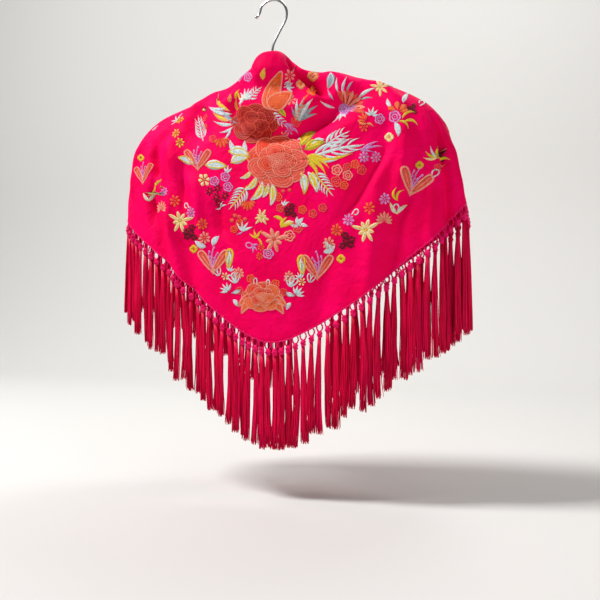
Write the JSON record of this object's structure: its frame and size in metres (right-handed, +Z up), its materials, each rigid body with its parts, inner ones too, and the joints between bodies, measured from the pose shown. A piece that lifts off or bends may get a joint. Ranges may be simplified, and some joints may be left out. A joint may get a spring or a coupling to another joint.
{
  "type": "flamenco shawl on hanger",
  "caption": "Triangular shawl draped round the shoulders on a hanger, with a turned neck fold and a knotted fringe along its two short edges.",
  "frame": {"origin": "underside of the hook's crown, where the hanger hangs on a rail", "axes": "+Z up, +X to the right seen from the shawl's back, the back faces -Y"},
  "size_m": [0.4586, 0.1556, 0.5635],
  "materials": {
    "crepe": "fuchsia red crepe, soft sheen",
    "fringe_thread": "crimson twisted thread, silky",
    "hook_steel": "plated wire",
    "hanger_wood": "plain varnished beech"
  },
  "bodies": {
    "root": {"shawl_cloth": "crepe", "fringe_left": "fringe_thread", "fringe_right": "fringe_thread", "hanger_hook": "hook_steel", "hanger_arms": "hanger_wood"}
  },
  "joints": []
}
